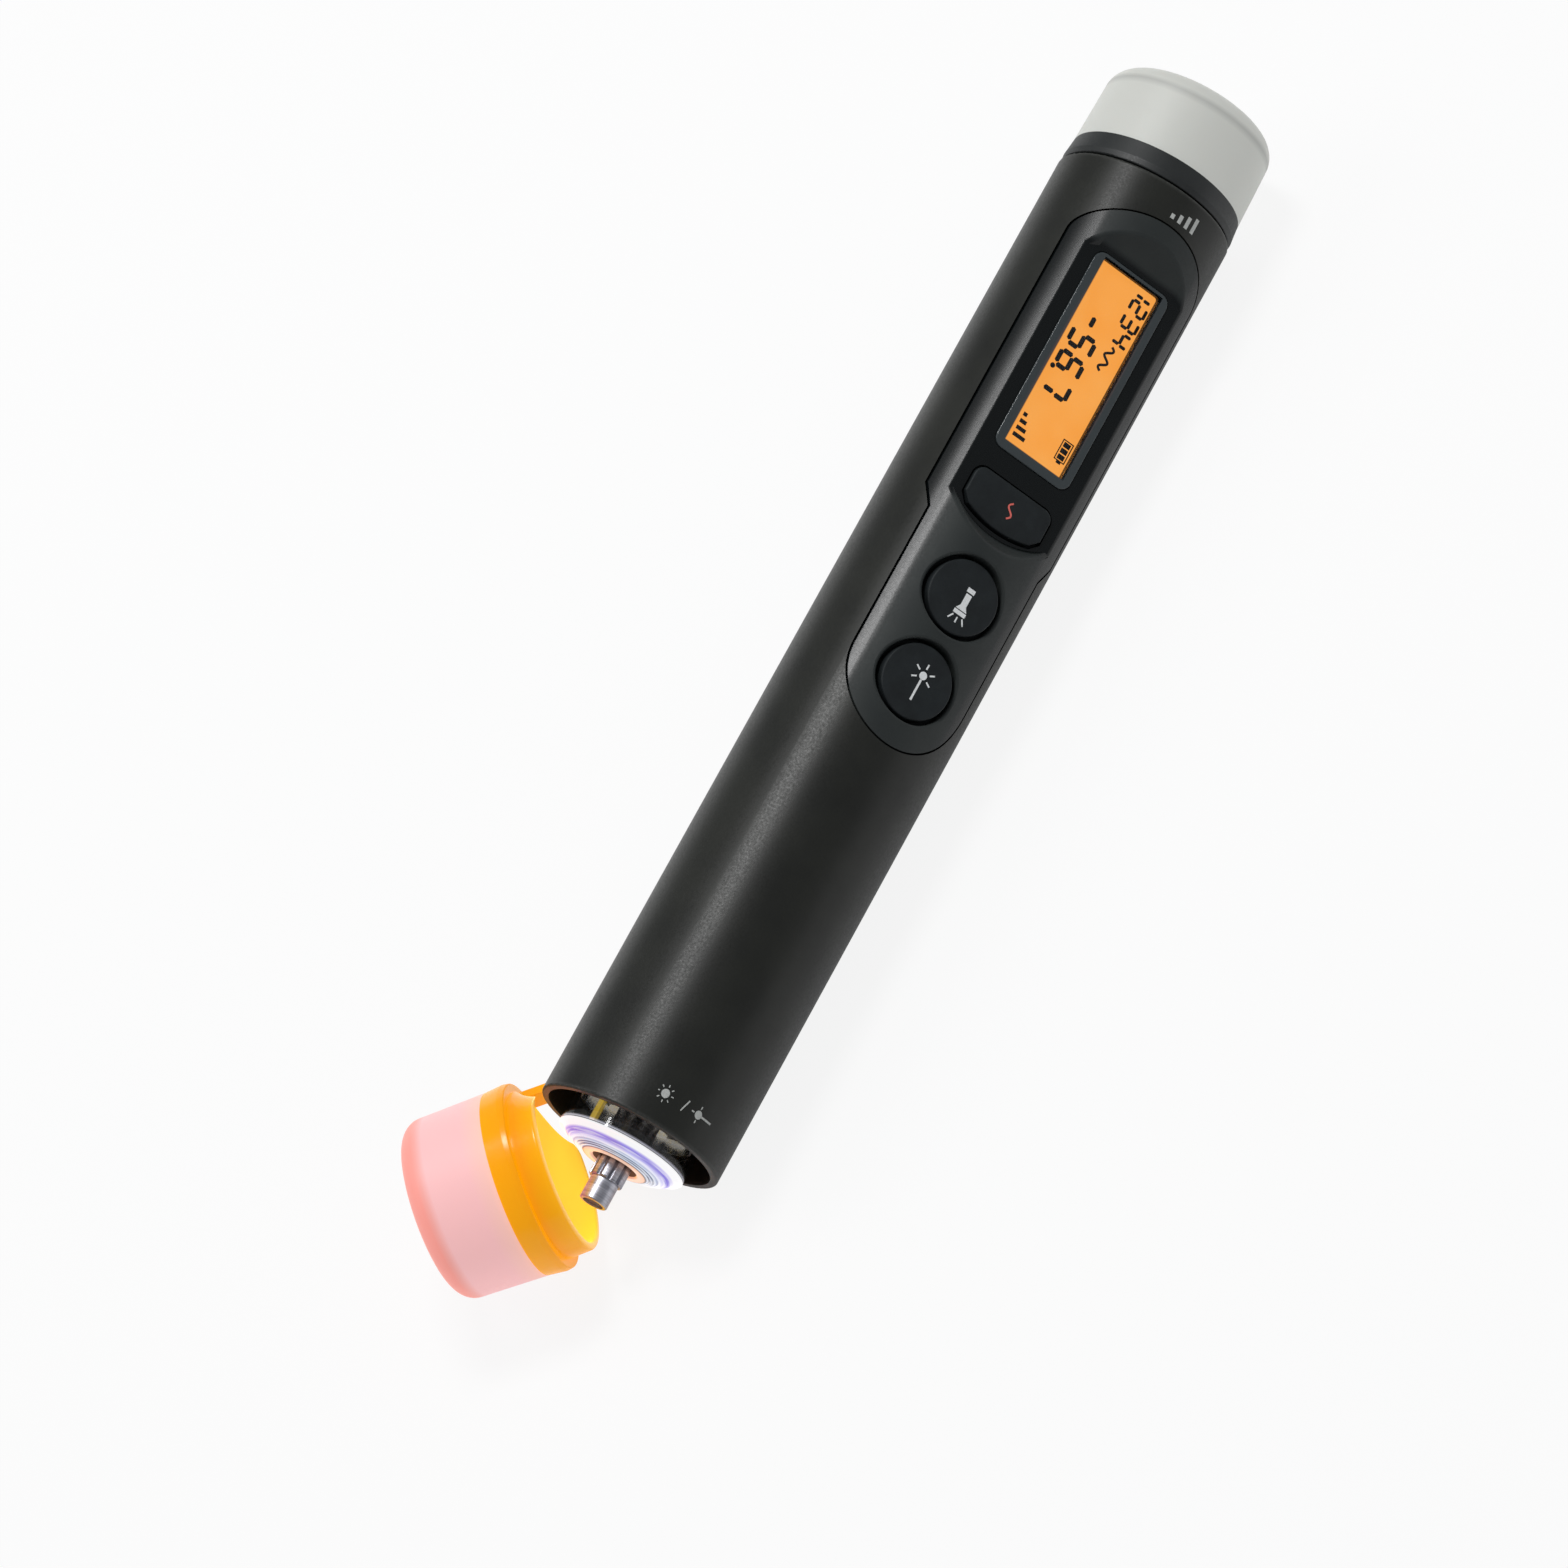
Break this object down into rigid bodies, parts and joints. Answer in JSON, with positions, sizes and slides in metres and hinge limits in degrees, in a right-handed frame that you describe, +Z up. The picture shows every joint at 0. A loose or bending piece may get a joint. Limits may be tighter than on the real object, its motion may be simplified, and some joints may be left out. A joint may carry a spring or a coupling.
{
  "type": "visual fault locator",
  "caption": "Pen-shaped fibre-optic visual fault locator with power meter and torch: round barrel, inset panel with display and keys, hinged caps at both ends.",
  "frame": {"origin": "on the barrel's axis, in the plane of the laser end's rim, inside the ferrule port", "axes": "+X along the barrel to the meter end, +Y toward the hinges of the caps, +Z up; it lies on its side at Z = -12.5 mm"},
  "size_m": [0.1845, 0.039, 0.025],
  "materials": {
    "barrel_black": "fine matt texture",
    "panel_black": "satin",
    "window_clear": "polished clear plastic",
    "display_orange": "backlit liquid crystal glass",
    "backlight_white": "diffuse",
    "key_rubber": "soft matt",
    "switch_black": "matt",
    "board_green": "solder mask",
    "chassis_black": "matt",
    "cell_wrap": "shrink wrap",
    "contact_steel": "nickel plated",
    "seat_black": "matt",
    "lens_clear": "polished clear plastic",
    "reflector_bright": "vacuum metallised",
    "lamp_board_white": "white solder mask",
    "chip_white": "phosphor",
    "adapter_steel": "turned, nickel plated",
    "sleeve_ceramic": "ground zirconia",
    "laser_brass": "turned",
    "collar_amber": "glossy moulded",
    "cup_pink": "frosted translucent",
    "collar_black": "satin",
    "cup_frosted": "frosted translucent",
    "pin_steel": "drawn",
    "screw_black": "blackened"
  },
  "bodies": {
    "body": {"barrel": "barrel_black", "front_panel": "panel_black", "display_window": "window_clear", "display_glass": "display_orange", "display_backlight": "backlight_white", "key_switches": "switch_black", "circuit_board": "board_green", "chassis": "chassis_black", "cell_front": "cell_wrap", "cell_rear": "cell_wrap", "contact_front": "contact_steel", "contact_rear": "contact_steel", "lamp_seat": "seat_black", "lamp_lens": "lens_clear", "lamp_reflector": "reflector_bright", "lamp_board": "lamp_board_white", "lamp_chips": "chip_white", "ferrule_adapter": "adapter_steel", "ferrule_sleeve": "sleeve_ceramic", "laser_module": "laser_brass", "meter_seat": "seat_black", "meter_adapter": "adapter_steel", "meter_detector": "contact_steel", "meter_screws": "screw_black", "laser_hinge_pin": "pin_steel", "meter_hinge_pin": "pin_steel"},
    "laser_cap": {"laser_cap_collar": "collar_amber", "laser_cap_cup": "cup_pink"},
    "meter_cap": {"meter_cap_collar": "collar_black", "meter_cap_cup": "cup_frosted"},
    "laser_key": {"laser_button": "key_rubber"},
    "torch_key": {"torch_button": "key_rubber"},
    "wavelength_selector": {"wavelength_key": "key_rubber"}
  },
  "joints": [
    {"name": "laser_cap_hinge", "type": "hinge", "parent": "body", "child": "laser_cap", "pos_m": [0.0049, 0.01365, -0.0034], "axis": [0, 0, -1], "range_deg": [-48.7, 71.3]},
    {"name": "meter_cap_hinge", "type": "hinge", "parent": "body", "child": "meter_cap", "pos_m": [0.1379, 0.01365, -0.0034], "axis": [0, 0, 1], "range_deg": [0, 120]},
    {"name": "laser_button_press", "type": "slide", "parent": "body", "child": "laser_key", "axis": [0, 0.7716, -0.6361], "range_m": [0, 0.0005], "stiffness_N_per_m": 300},
    {"name": "torch_button_press", "type": "slide", "parent": "body", "child": "torch_key", "axis": [0, 0.7716, -0.6361], "range_m": [0, 0.0005], "stiffness_N_per_m": 300},
    {"name": "wavelength_key_press", "type": "slide", "parent": "body", "child": "wavelength_selector", "axis": [0, 0.7716, -0.6361], "range_m": [0, 0.0005], "stiffness_N_per_m": 300}
  ]
}
